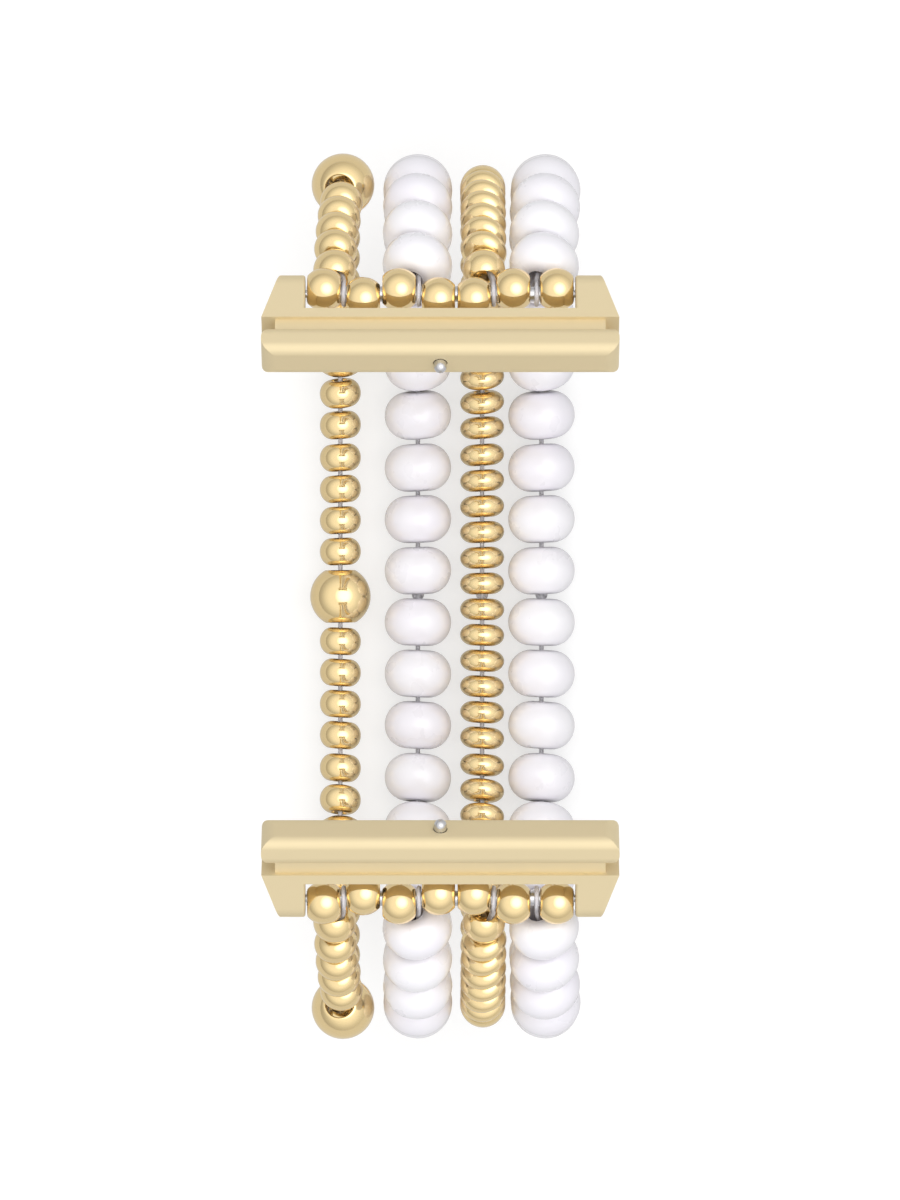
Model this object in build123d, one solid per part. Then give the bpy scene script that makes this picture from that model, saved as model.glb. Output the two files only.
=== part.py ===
from build123d import *
from math import acos, atan2, cos, hypot, pi, radians, sin, sqrt
import os

# Bead watch band: four strands of beads on elastic run round the wrist, from the spring bar of
# one lug adapter to the spring bar of the other.
# +X is the 3 o'clock side, +Y is 12 o'clock and +Z points up, from the strands' back to the bars.
# The origin lies on the surface that the band stands on, under its middle. Sizes are in mm.

# Spring bars
bar_spacing = 47.0
tube_radius = 0.6
tube_bore_radius = 0.43
tube_end_wall = 0.4
tube_end_gap = 0.1
pin_tip_radius = 0.3
pin_head_radius = 0.39
pin_head_length = 0.8
pin_reach = 1.1
pin_running_clearance = 0.05
seat_gap = 0.02
bar_spring_wire_radius = 0.06
bar_spring_mean_radius = 0.3
bar_spring_turns = 14

# Lug adapters
ear_gap = 21.0
ear_thickness = 2.9
ear_tip_width = 24.7
ear_tip_rounding = 0.8
ear_edge_rounding = 0.2
shoulder_width = 27.72
crossbar_setback = 2.45
crossbar_depth = 0.85
neck_depth = 1.0
neck_thickness = 2.2
neck_width = 25.6
tongue_depth = 2.4
tongue_thickness = 3.4
tongue_length = 27.7
tongue_rounding = 0.8
tongue_end_rounding = 1.1
pin_hole_depth = 1.25
adapter_tilt = 35.0

# Latch in each tongue
latch_bore_radius = 0.7
latch_bore_depth = 2.6
latch_lip = 0.3
latch_nose_radius = 0.5
latch_nose_length = 0.85
latch_shoulder_length = 0.55
latch_clearance = 0.05
latch_spring_wire_radius = 0.1
latch_spring_turns = 4

# Beads on the bars, listed from the 9 o'clock end
bar_bead_radius = 1.68
bar_bead_length = 2.66
bar_bead_hole_radius = 1.0
bar_bead_end_gap = 0.12
bar_bead_offset = 0.35
bar_bead_sides = (1, -1, 1, -1, -1, 1, 1)
cord_gap = 0.4
loose_gap = 0.12
wide_gap = 0.7
bar_bead_gaps = (cord_gap, loose_gap, cord_gap, loose_gap, cord_gap, wide_gap)

# Beads on the strands
strand_hole_radius = 0.65
round_bead_radius = 1.7
round_bead_length = 2.25
rondelle_radius = 1.825
rondelle_length = 1.79
gold_rim_radius = 0.75
pearl_radius = 2.75
pearl_length = 3.9
pearl_hole_radius = 0.86
pearl_rim_radius = 0.9
ball_radius = 2.5
ball_hole_radius = 1.1
ball_offset = 0.4
hole_edge_rounding = 0.08
strand_leans = (17.0, 13.0, 15.0, 14.0)
lean_spread = 1.5
lean_spread_shares = (0.4, -0.8, 1.0, -0.3, -1.0, 0.7, 0.1)
kind_lean_shares = {"large": 0, "round": 1, "rondelle": 1, "pearl": 1, "ball": 0.5}
lean_fade_length = 70.0

# Elastic, doubled through the beads
cord_radius = 0.18
cord_pair_offset = 0.2
cord_clearance = 0.05
cord_entry = 0.1
knot_radius = 0.55

# Strands: how far each lies from the band's middle, at the bars, at the sides and at the back
strand_first_x = (-8.27, -1.8, 3.4, 8.1)
strand_x = (-7.7, -1.8, 3.35, 8.4)
strand_back_x = (-8.3, -1.9, 3.4, 8.3)
strand_shift_length = 13.0
strand_return_length = 20.0
last_gap_cord_inset = 0.05

# Loop of the strands, seen from the side
lead_length = 2.25
lead_slope = 62.0
start_slope = 46.0
upper_turn = 14.0
upper_radius = 41.2
shoulder_turn = 30.0
shoulder_radius = 16.0
side_straight = 1.8

# Links: stretches of the strands that flex against each other
link_pearl_count = 3
back_pearl_count = 6
link_rondelle_count = 6
back_rondelle_count = 12
pearl_gap = 0.35
hinge_gap = 0.45
side_link_count = 4
back_link = side_link_count + 1
link_count = 2 * side_link_count + 1

# Strand 1's beads in each link, from the bar to the back
ball_strand_rows = (
    ("large", "round", "round", "round", "round"),
    ("ball", "round", "round", "round"),
    ("round", "round", "round", "round", "round"),
    ("round", "ball", "round", "round"),
    ("round", "round", "round", "round", "ball", "round", "round", "round", "round"),
)

# Sizes that follow from the ones above
link_length = link_pearl_count * pearl_length + (link_pearl_count - 1) * pearl_gap
back_ball_offset = pearl_radius - ball_radius
back_link_length = back_pearl_count * pearl_length + (back_pearl_count - 1) * pearl_gap
link_pitch = link_length + hinge_gap
back_pitch = back_link_length + hinge_gap
side_length = side_link_count * link_pitch - hinge_gap / 2
total_length = 2 * side_length + back_pitch
ear_radius = ear_thickness / 2
tube_half_length = ear_gap / 2 - tube_end_gap
pin_seat = tube_half_length - tube_end_wall
neck_end = -crossbar_setback - crossbar_depth - neck_depth
tongue_end = neck_end - tongue_depth


def loop_runs():
    """Runs of the centreline, from the first bead to the middle of the back: (length, radius).

    The radii are fitted so that four links end where the flat back link begins."""
    lead_y = bar_spacing / 2 + lead_length * cos(radians(lead_slope))
    back_start_y = back_pitch / 2
    upper_end = radians(start_slope + upper_turn)
    shoulder_end = upper_end + radians(shoulder_turn)
    upper_out = upper_radius * (sin(upper_end) - sin(radians(start_slope)))
    shoulder_out = shoulder_radius * (sin(shoulder_end) - sin(upper_end))
    upper_run = upper_radius * radians(upper_turn)
    shoulder_run = shoulder_radius * radians(shoulder_turn)
    lower_turn = pi - shoulder_end
    spare = side_length - side_straight - lower_turn * (lead_y - back_start_y)
    fit = spare / (upper_run + shoulder_run + lower_turn * (upper_out + shoulder_out))
    lower_radius = lead_y + fit * (upper_out + shoulder_out) - back_start_y
    return (
        (fit * upper_run, fit * upper_radius),
        (fit * shoulder_run, fit * shoulder_radius),
        (side_straight, 0),
        (lower_turn * lower_radius, lower_radius),
        (back_pitch / 2, 0),
    )


runs = loop_runs()


def follow(distance):
    """Y, drop below the first bead's start and slope, at a distance along one side."""
    y = bar_spacing / 2 + lead_length * cos(radians(lead_slope))
    drop = 0
    slope = radians(start_slope)
    for length, radius in runs:
        step = min(distance, length)
        distance = distance - step
        if radius:
            turn = step / radius
            y += radius * (sin(slope + turn) - sin(slope))
            drop += radius * (cos(slope) - cos(slope + turn))
            slope += turn
        else:
            y += step * cos(slope)
            drop += step * sin(slope)
    return y, drop, slope


lead_z = pearl_radius + follow(total_length / 2)[1]
bar_y = bar_spacing / 2
bar_z = lead_z + lead_length * sin(radians(lead_slope))


def centre_at(distance):
    """Y, Z and slope of the strands' centreline, measured along it from 12 o'clock."""
    if distance <= total_length / 2:
        y, drop, slope = follow(distance)
        return y, lead_z - drop, slope
    y, drop, slope = follow(total_length - distance)
    return -y, lead_z - drop, 2 * pi - slope


def point_at(x, distance, outward=0):
    """Point beside the centreline, shifted away from the wrist by outward."""
    y, z, slope = centre_at(distance)
    return Vector(x, y + outward * sin(slope), z + outward * cos(slope))


def strand_x_at(strand, distance):
    """How far a strand lies from the band's middle at a distance along it."""
    from_bar = min(distance, total_length - distance)
    if from_bar < strand_shift_length:
        share = (max(from_bar, 0) / strand_shift_length) ** 2
        return strand_first_x[strand] + (strand_x[strand] - strand_first_x[strand]) * share
    share = min((from_bar - strand_shift_length) / strand_return_length, 1)
    return strand_x[strand] + (strand_back_x[strand] - strand_x[strand]) * share


def link_span(link):
    """Where a link's beads start and end along the centreline."""
    if link <= side_link_count:
        start = (link - 1) * link_pitch
        return start, start + link_length
    if link == back_link:
        start = side_link_count * link_pitch
        return start, start + back_link_length
    mirrored_start, mirrored_end = link_span(link_count + 1 - link)
    return total_length - mirrored_end, total_length - mirrored_start


def hinge_distance(link):
    """Where the flexing gap after a link lies along the centreline."""
    return link_span(link)[1] + hinge_gap / 2


def spaced(lengths, start, end):
    """Centres of pieces with these lengths, evenly spaced from start to end."""
    gap = (end - start - sum(lengths)) / (len(lengths) - 1)
    centres = []
    edge = start
    for length in lengths:
        centres.append(edge + length / 2)
        edge += length + gap
    return centres


def turned(profile_edges, rounding):
    """Solid of revolution round Z, with the corners of its profile rounded."""
    face = make_face(profile_edges)
    rounded = fillet(face.vertices(), rounding)
    return revolve(Plane.XZ * rounded, Axis.Z)


def oval_bead(radius, length, hole_radius, rim_radius):
    """Rondelle with its hole along Z, whose sides curve as an ellipse out from rim_radius."""
    across = radius - rim_radius
    half = length / 2
    arc = EllipticalCenterArc((rim_radius, 0), across, half, start_angle=-90, arc_size=180)
    wall = Polyline(arc @ 1, (hole_radius, half), (hole_radius, -half), arc @ 0)
    return revolve(Plane.XZ * make_face(arc + wall), Axis.Z)


def round_bead(radius, length, hole_radius):
    """Ball cut flat at both ends of its hole, turned about Z."""
    half = length / 2
    facet_radius = sqrt(radius**2 - half**2)
    side = ThreePointArc((facet_radius, -half), (radius, 0), (facet_radius, half))
    wall = Polyline((facet_radius, half), (hole_radius, half), (hole_radius, -half), (facet_radius, -half))
    return revolve(Plane.XZ * make_face(side + wall), Axis.Z)


def ball_length():
    """Length of the large ball along its hole."""
    return 2 * sqrt(ball_radius**2 - ball_hole_radius**2)


def large_ball():
    """Ball with a wide drilled hole along Z."""
    half = ball_length() / 2
    side = ThreePointArc((ball_hole_radius, -half), (ball_radius, 0), (ball_hole_radius, half))
    return turned(side + Line(side @ 1, side @ 0), hole_edge_rounding)


bead_makers = {
    "large": lambda: round_bead(bar_bead_radius, bar_bead_length, bar_bead_hole_radius),
    "round": lambda: oval_bead(
        round_bead_radius, round_bead_length, strand_hole_radius, gold_rim_radius
    ),
    "rondelle": lambda: oval_bead(
        rondelle_radius, rondelle_length, strand_hole_radius, gold_rim_radius
    ),
    "pearl": lambda: oval_bead(pearl_radius, pearl_length, pearl_hole_radius, pearl_rim_radius),
    "ball": large_ball,
}
bead_lengths = {
    "large": bar_bead_length,
    "round": round_bead_length,
    "rondelle": rondelle_length,
    "pearl": pearl_length,
    "ball": ball_length(),
}
beads = {kind: make() for kind, make in bead_makers.items()}


def strand_row(strand, link):
    """Kinds of the beads of one strand in one link, in order from 12 o'clock."""
    from_bar = min(link, link_count + 1 - link)
    at_back = link == back_link
    if strand in (1, 3):
        row = ["pearl"] * (back_pearl_count if at_back else link_pearl_count)
    elif strand == 2:
        row = ["rondelle"] * (back_rondelle_count if at_back else link_rondelle_count)
        if from_bar == 1:
            row[0] = "large"
    else:
        row = list(ball_strand_rows[from_bar - 1])
    return row if link <= back_link else row[::-1]


def row_centres(strand, link):
    """Each bead of one strand in one link: (kind, distance of its centre)."""
    row = strand_row(strand, link)
    start, end = link_span(link)
    return list(zip(row, spaced([bead_lengths[kind] for kind in row], start, end)))


def lean_at(kind, strand, distance, index):
    """How far a bead leans on its cord: most near the bars, where the beads look twisted."""
    from_bar = min(distance, total_length - distance)
    way = 1 if distance < total_length / 2 else -1
    share = kind_lean_shares[kind] * max(1 - from_bar / lean_fade_length, 0)
    spread = lean_spread * lean_spread_shares[(index + 2 * strand) % len(lean_spread_shares)]
    return way * (strand_leans[strand] + spread) * share


def ball_shift(link):
    """How far a ball sits off its cord; at the back it lies level with the pearls."""
    return back_ball_offset if link == back_link else ball_offset


def place_bead(kind, strand, distance, index, outward):
    """One bead in its place on the loop."""
    x = strand_x_at(strand, distance)
    slope = centre_at(distance)[2]
    spot = Plane(
        origin=point_at(x, distance, outward), x_dir=(1, 0, 0), z_dir=(0, cos(slope), -sin(slope))
    )
    return spot.location * Rot(0, lean_at(kind, strand, distance, index), 0) * beads[kind]


def link_beads(link, kinds):
    """All beads of the given kinds in one link."""
    placed = []
    for strand in range(len(strand_x)):
        for index, (kind, distance) in enumerate(row_centres(strand, link)):
            outward = ball_shift(link) if kind == "ball" else 0
            if kind in kinds:
                placed.append(place_bead(kind, strand, distance, index + 3 * link, outward))
    return placed


def cord_along(path):
    """Round cord along a path."""
    return sweep(Plane(path @ 0, z_dir=path % 0) * Circle(cord_radius), path, transition=Transition.RIGHT)


def cord_stops(strand, link):
    """Distances at which the cord of one strand in one link has its points."""
    start, end = link_span(link)
    centres = row_centres(strand, link)
    stops = [distance for kind, distance in centres]
    if link == 1:
        return [cord_entry, bead_lengths[centres[0][0]]] + stops[1:] + [end]
    return [start] + stops + [end]


def bar_bead_centres():
    """How far each bead on a bar lies from the band's middle."""
    edge = -ear_gap / 2 + bar_bead_end_gap
    centres = []
    for gap in (*bar_bead_gaps, 0):
        centres.append(edge + bar_bead_length / 2)
        edge += bar_bead_length + gap
    return centres


def cord_bar_x():
    """How far each strand's cord lies from the middle where it goes round a bar."""
    centres = bar_bead_centres()
    middles = [(centres[left] + centres[left + 1]) / 2 for left in (0, 2, 4)]
    return (*middles, centres[6] - bar_bead_length / 2 - cord_radius - last_gap_cord_inset)


def cord_points(strand, link, side):
    """Points of one of a strand's two cord runs in one link."""
    points = []
    for stop in cord_stops(strand, link):
        x = cord_bar_x()[strand] if stop == cord_entry else strand_x_at(strand, stop)
        points.append(point_at(x, stop, side * cord_pair_offset))
    return points


def turned_cord(outer, inner):
    """Cord that comes along the outer run, goes round the 12 o'clock bar and back along the inner."""
    loop_radius = tube_radius + cord_clearance + cord_radius
    angles = []
    bearings = []
    for side, entry in ((1, outer[0]), (-1, inner[0])):
        reach = hypot(entry.Y - bar_y, entry.Z - bar_z)
        bearing = atan2(entry.Z - bar_z, entry.Y - bar_y)
        bearings.append(bearing)
        angles.append(bearing + side * acos(loop_radius / reach))
    far_side = (bearings[0] + bearings[1]) / 2 + pi
    rim = [
        Vector(outer[0].X, bar_y + loop_radius * cos(angle), bar_z + loop_radius * sin(angle))
        for angle in (angles[0], far_side, angles[1])
    ]
    out_run = Polyline(*outer[::-1], rim[0])
    back_run = Polyline(rim[2], *inner)
    return cord_along(Wire([*out_run.edges(), ThreePointArc(*rim), *back_run.edges()]))


def strand_cords(strand, link):
    """One strand's elastic in one link: two runs side by side, joined where they turn or knot."""
    if link > back_link:
        return [mirror(cord, about=Plane.XZ) for cord in strand_cords(strand, link_count + 1 - link)]
    outer, inner = (cord_points(strand, link, side) for side in (1, -1))
    if link == 1:
        return [turned_cord(outer, inner)]
    cords = [cord_along(Polyline(*points)) for points in (outer, inner)]
    if link == back_link:
        knot = Pos(*point_at(strand_back_x[strand], total_length / 2)) * Sphere(knot_radius)
        return [cords[0] + cords[1] + knot]
    return cords


def rod(radius, start, end):
    """Cylinder along X."""
    return Pos((start + end) / 2, 0, 0) * Rot(0, 90, 0) * Cylinder(radius, end - start)


def coil(mean_radius, wire_radius, turns, length):
    """Coil spring along X, centred on the origin."""
    height = length - 2 * wire_radius
    path = Pos(0, 0, -height / 2) * Helix(height / turns, height, mean_radius)
    wire = sweep(Plane(path @ 0, z_dir=path % 0) * Circle(wire_radius), path, is_frenet=True)
    return Rot(0, 90, 0) * wire


def bar_tube():
    """Hollow tube of a spring bar, closed in to a small hole at each end."""
    tube = rod(tube_radius, -tube_half_length, tube_half_length)
    bore = rod(tube_bore_radius, -pin_seat, pin_seat)
    end_hole = rod(pin_tip_radius + pin_running_clearance, -tube_half_length, tube_half_length)
    return tube - bore - end_hole


def bar_pin():
    """Pin at the 3 o'clock end of a spring bar, pushed out against the tube's end wall."""
    head_end = pin_seat - seat_gap
    head = rod(pin_head_radius, head_end - pin_head_length, head_end)
    tip = rod(pin_tip_radius, head_end - pin_head_length, ear_gap / 2 + pin_reach)
    return head + tip


def bar_spring():
    """Coil spring that keeps the two pins apart."""
    head_back = pin_seat - seat_gap - pin_head_length
    return coil(
        bar_spring_mean_radius, bar_spring_wire_radius, bar_spring_turns, 2 * (head_back - seat_gap)
    )


def ears():
    """Crossbar and two ears, along +Y from the tongue to past the bar."""
    back = -crossbar_setback - crossbar_depth
    flare = (shoulder_width - ear_tip_width) / (crossbar_setback + crossbar_depth + ear_radius)
    base = ear_tip_width + flare * (ear_radius - back)
    plan = make_face(Polyline(
        (-base / 2, back), (base / 2, back), (ear_tip_width / 2, ear_radius),
        (-ear_tip_width / 2, ear_radius), close=True,
    ))
    tip_corners = plan.vertices().group_by(Axis.Y)[-1]
    plate = extrude(fillet(tip_corners, ear_tip_rounding), amount=ear_radius, both=True)
    side = Pos(back / 2, 0) * Rectangle(-back, ear_thickness) + Circle(ear_radius)
    sides = extrude(Plane.YZ * side, amount=base, both=True)
    opening_depth = 2 * (crossbar_setback + ear_radius)
    opening = Box(ear_gap, opening_depth, 2 * ear_thickness)
    body = (plate & sides) - Pos(0, opening_depth / 2 - crossbar_setback, 0) * opening
    inner_faces = body.faces().filter_by(Axis.X)
    outlines = [
        edge for face in inner_faces for edge in face.edges() if edge.center().Y > -crossbar_setback
    ]
    return fillet(outlines, ear_edge_rounding)


def tongue():
    """Neck and rounded tongue that slides into a slot."""
    neck_start = -crossbar_setback - crossbar_depth
    neck = Pos(0, (neck_start + neck_end) / 2, 0) * Box(neck_width, neck_depth, neck_thickness)
    section = RectangleRounded(tongue_depth, tongue_thickness, tongue_rounding)
    bar = extrude(Plane.YZ * section, amount=tongue_length / 2, both=True)
    plan = RectangleRounded(tongue_length, tongue_depth, tongue_end_rounding)
    outline = extrude(plan, amount=tongue_thickness, both=True)
    return neck + Pos(0, (neck_end + tongue_end) / 2, 0) * (bar & outline)


def along_y(radius, start, end):
    """Cylinder along Y."""
    return Pos(0, (start + end) / 2, 0) * Rot(90, 0, 0) * Cylinder(radius, abs(end - start))


def lug_adapter():
    """Lug adapter about the bar's axis, its ears along +Y."""
    body = ears() + tongue()
    hole_end = ear_gap / 2 + pin_hole_depth
    pin_holes = rod(pin_tip_radius + pin_running_clearance, -hole_end, hole_end)
    body = body - pin_holes
    bore_start = tongue_end + latch_lip
    body = body - along_y(latch_bore_radius, bore_start, tongue_end + latch_bore_depth)
    return body - along_y(latch_nose_radius + latch_clearance, tongue_end, bore_start)


def latch_plunger():
    """Sprung button of the latch, its nose out of the tongue's end."""
    shoulder_start = tongue_end + latch_lip + seat_gap
    shoulder_end = shoulder_start + latch_shoulder_length
    shoulder = along_y(latch_bore_radius - latch_clearance, shoulder_start, shoulder_end)
    nose_end = tongue_end - latch_nose_length
    nose = along_y(latch_nose_radius, nose_end + latch_nose_radius, shoulder_end)
    return shoulder + nose + Pos(0, nose_end + latch_nose_radius, 0) * Sphere(latch_nose_radius)


def latch_spring():
    """Coil spring between the plunger and the end of its bore."""
    start = tongue_end + latch_lip + latch_shoulder_length + 2 * seat_gap
    end = tongue_end + latch_bore_depth - seat_gap
    mean_radius = latch_bore_radius - latch_clearance - 2 * latch_spring_wire_radius
    spring = coil(mean_radius, latch_spring_wire_radius, latch_spring_turns, end - start)
    return Pos(0, (start + end) / 2, 0) * Rot(0, 0, 90) * spring


def at_bar(piece):
    """Move a piece from the origin to the 12 o'clock bar."""
    return Pos(0, bar_y, bar_z) * piece


def on_adapter(piece):
    """Tilt a piece with the 12 o'clock adapter and move it to its bar."""
    return at_bar(Rot(-adapter_tilt, 0, 0) * piece)


def bar_beads():
    """The seven beads on the 12 o'clock bar, some pushed outward and some inward."""
    bead = Rot(0, 90, 0) * beads["large"]
    return [
        at_bar(Pos(x, side * bar_bead_offset, 0) * bead)
        for x, side in zip(bar_bead_centres(), bar_bead_sides)
    ]


def connector_pieces():
    """Every piece of the 12 o'clock connector, by name."""
    pieces = {
        "lug_adapter": on_adapter(lug_adapter()),
        "latch_plunger": on_adapter(latch_plunger()),
        "latch_spring": on_adapter(latch_spring()),
        "bar_tube": at_bar(bar_tube()),
        "bar_pin_right": at_bar(bar_pin()),
        "bar_pin_left": at_bar(mirror(bar_pin(), about=Plane.YZ)),
        "bar_spring": at_bar(bar_spring()),
    }
    for number, bead in enumerate(bar_beads(), start=1):
        pieces[f"bar_bead_{number}"] = bead
    return pieces


def link_pieces(link):
    """Every piece of one link, by name."""
    pieces = {
        f"gold_beads_{link}": link_beads(link, ("large", "round", "rondelle")),
        f"pearl_beads_{link}": link_beads(link, ("pearl",)),
        f"elastic_{link}": [
            cord for strand in range(len(strand_x)) for cord in strand_cords(strand, link)
        ],
    }
    balls = link_beads(link, ("ball",))
    if balls:
        pieces[f"gold_ball_{link}"] = balls
    return pieces


def write(name, solids):
    """Write one node's solids to its STEP file."""
    group = solids if isinstance(solids, list) else [solids]
    flat = [solid for item in group for solid in item.solids()]
    shape = flat[0] if len(flat) == 1 else Compound(children=flat)
    export_step(shape, f"parts/{name}.step")


def main():
    os.makedirs("parts", exist_ok=True)
    for name, piece in connector_pieces().items():
        write(f"{name}_12", piece)
        write(f"{name}_6", mirror(piece, about=Plane.XZ))
    for link in range(1, link_count + 1):
        for name, solids in link_pieces(link).items():
            write(name, solids)


if __name__ == "__main__":
    main()
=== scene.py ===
import math

import bpy
from bpy.props import FloatProperty, FloatVectorProperty, IntProperty, PointerProperty
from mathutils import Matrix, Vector


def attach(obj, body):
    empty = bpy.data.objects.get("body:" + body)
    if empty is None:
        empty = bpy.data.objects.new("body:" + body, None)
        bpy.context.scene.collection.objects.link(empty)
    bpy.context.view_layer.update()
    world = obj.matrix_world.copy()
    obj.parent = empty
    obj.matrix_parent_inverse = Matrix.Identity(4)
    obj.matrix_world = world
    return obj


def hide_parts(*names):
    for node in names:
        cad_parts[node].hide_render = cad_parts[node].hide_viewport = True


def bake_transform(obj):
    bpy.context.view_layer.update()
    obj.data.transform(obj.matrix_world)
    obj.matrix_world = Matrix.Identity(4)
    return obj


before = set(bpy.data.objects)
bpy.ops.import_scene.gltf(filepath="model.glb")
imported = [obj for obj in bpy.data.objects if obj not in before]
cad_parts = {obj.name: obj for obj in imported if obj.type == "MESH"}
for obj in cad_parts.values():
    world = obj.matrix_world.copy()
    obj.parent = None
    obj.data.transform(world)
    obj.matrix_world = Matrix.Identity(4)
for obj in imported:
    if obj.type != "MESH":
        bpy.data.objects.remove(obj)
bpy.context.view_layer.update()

bl_info = {
    "name": "Bead watch band",
    "version": (1, 0, 0),
    "blender": (4, 5, 0),
    "location": "3D View > Sidebar > Bead band",
    "description": "Turned beads, pearls, elastic and finishes for a bead watch band",
    "category": "Object",
}

MM = 0.001
HOURS = {12: 1, 6: -1}

# The strands' loop, as the CAD model has it, in mm and degrees
BAR_SPACING = 47.0
LEAD_LENGTH = 2.25
LEAD_SLOPE = 62.0
START_SLOPE = 46.0
UPPER_TURN = 14.0
UPPER_RADIUS = 41.2
SHOULDER_TURN = 30.0
SHOULDER_RADIUS = 16.0
SIDE_STRAIGHT = 1.8
LINK_PEARL_COUNT = 3
BACK_PEARL_COUNT = 6
LINK_RONDELLE_COUNT = 6
BACK_RONDELLE_COUNT = 12
PEARL_GAP = 0.35
HINGE_GAP = 0.45
SIDE_LINK_COUNT = 4
BACK_LINK = SIDE_LINK_COUNT + 1
LINK_COUNT = 2 * SIDE_LINK_COUNT + 1
STRAND_FIRST_X = (-8.27, -1.8, 3.4, 8.1)
STRAND_X = (-7.7, -1.8, 3.35, 8.4)
STRAND_BACK_X = (-8.3, -1.9, 3.4, 8.3)
STRAND_SHIFT_LENGTH = 13.0
STRAND_RETURN_LENGTH = 20.0
BALL_STRAND_ROWS = (
    ("large", "round", "round", "round", "round"),
    ("ball", "round", "round", "round"),
    ("round", "round", "round", "round", "round"),
    ("round", "ball", "round", "round"),
    ("round", "round", "round", "round", "ball", "round", "round", "round", "round"),
)

# Beads, in mm: radius, length, where the curve starts beside the hole, the hole and its edge
BEADS = {
    "large": {"radius": 1.68, "length": 2.66, "rim": 0.0, "hole": 1.026, "edge": 0.03},
    "round": {"radius": 1.7, "length": 2.25, "rim": 0.75, "hole": 0.65, "edge": 0.06},
    "rondelle": {"radius": 1.825, "length": 1.79, "rim": 0.75, "hole": 0.65, "edge": 0.06},
    "pearl": {"radius": 2.75, "length": 3.9, "rim": 0.9, "hole": 0.86, "edge": 0.08},
    "ball": {"radius": 2.5, "length": 4.49, "rim": 0.0, "hole": 1.1, "edge": 0.1},
}
BALL_OFFSET = 0.4
BACK_BALL_OFFSET = BEADS["pearl"]["radius"] - BEADS["ball"]["radius"]
STRAND_LEANS = (17.0, 13.0, 15.0, 14.0)
LEAN_SPREAD = 1.5
LEAN_SPREAD_SHARES = (0.4, -0.8, 1.0, -0.3, -1.0, 0.7, 0.1)
KIND_LEAN_SHARES = {"large": 0, "round": 1, "rondelle": 1, "pearl": 1, "ball": 0.5}
LEAN_FADE_LENGTH = 70.0

# Beads on the bars, from the 9 o'clock end
EAR_GAP = 21.0
BAR_BEAD_END_GAP = 0.12
BAR_BEAD_OFFSET = 0.35
BAR_BEAD_SIDES = (1, -1, 1, -1, -1, 1, 1)
BAR_BEAD_GAPS = (0.4, 0.12, 0.4, 0.12, 0.4, 0.7)

# Elastic
TUBE_RADIUS = 0.6
CORD_RADIUS = 0.18
CORD_OFFSET = 0.2
CORD_CLEARANCE = 0.05
CORD_ENTRY = 0.1
LAST_GAP_CORD_INSET = 0.05
KNOT_SIZE = 0.12
KNOT_STEPS = 24
CORD_TURN_STEPS = 12
CORD_SIDES = 12
CORD_SMOOTHNESS = 4
CORD_STOP_GAP = 0.5

# Beads' meshes: points on the rounding of a hole's edge, and how far inwards a bore's face looks
EDGE_POINTS = 3
BORE_SHARE = 0.9

# Finishes: weight of the fine marks, shift of the cloudy tones, and how dull the duller places are
HAIRLINE_SHARE = 0.25
CLOUD_SHIFT = 0.25
ELASTIC_DULL_SHARE = 0.8
STEEL_DULL_SHARE = 0.82

# White surroundings: their light, and the softly graded studio that gloss mirrors
WORLD_LIGHT = 0.58
MIRRORED_HORIZON = 0.6
MIRRORED_ZENITH = 1.22
MIRRORED_RISE = 0.85
MIRRORED_SIDE = 0.14
SOFT_KEY_TOWARDS = (0.26, 0.05, 0.96)
SOFT_KEY_LEVEL = 1.5
SOFT_KEY_EDGE = 0.8
SOFT_KEY_CORE = 0.985
FLOOR_COLOUR = 0.42
FLOOR_SEEN_GLOW = 0.62
FLOOR_MIRRORED_GLOW = 0.28
FLOOR_REACH = 1.5

# Soft lamps, in metres and watts: name, place, size and power
LAMPS = (
    ("top_softbox", (0.12, 0.02, 0.80), 1.00, 4.2),
    ("left_softbox", (-0.60, 0.10, 0.40), 0.60, 0.7),
    ("front_softbox", (0.10, -0.65, 0.45), 0.60, 0.7),
)
LAMP_AIM = (0, 0, 0.025)

# The photograph's view, in mm and degrees
CAMERA_X = 0.75
CAMERA_Y = -0.3
CAMERA_HEIGHT = 661.0
CAMERA_ANGLE = 8.3


def loop_runs():
    """Runs of the centreline from the first bead to the middle of the back: (length, radius)."""
    pearl = BEADS["pearl"]["length"]
    link_pitch = LINK_PEARL_COUNT * pearl + (LINK_PEARL_COUNT - 1) * PEARL_GAP + HINGE_GAP
    back_pitch = BACK_PEARL_COUNT * pearl + (BACK_PEARL_COUNT - 1) * PEARL_GAP + HINGE_GAP
    side = SIDE_LINK_COUNT * link_pitch - HINGE_GAP / 2
    lead_y = BAR_SPACING / 2 + LEAD_LENGTH * math.cos(math.radians(LEAD_SLOPE))
    upper_end = math.radians(START_SLOPE + UPPER_TURN)
    shoulder_end = upper_end + math.radians(SHOULDER_TURN)
    upper_out = UPPER_RADIUS * (math.sin(upper_end) - math.sin(math.radians(START_SLOPE)))
    shoulder_out = SHOULDER_RADIUS * (math.sin(shoulder_end) - math.sin(upper_end))
    upper_run = UPPER_RADIUS * math.radians(UPPER_TURN)
    shoulder_run = SHOULDER_RADIUS * math.radians(SHOULDER_TURN)
    lower_turn = math.pi - shoulder_end
    spare = side - SIDE_STRAIGHT - lower_turn * (lead_y - back_pitch / 2)
    fit = spare / (upper_run + shoulder_run + lower_turn * (upper_out + shoulder_out))
    lower_radius = lead_y + fit * (upper_out + shoulder_out) - back_pitch / 2
    runs = (
        (fit * upper_run, fit * UPPER_RADIUS),
        (fit * shoulder_run, fit * SHOULDER_RADIUS),
        (SIDE_STRAIGHT, 0),
        (lower_turn * lower_radius, lower_radius),
        (back_pitch / 2, 0),
    )
    return runs, link_pitch, back_pitch, 2 * side + back_pitch


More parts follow.
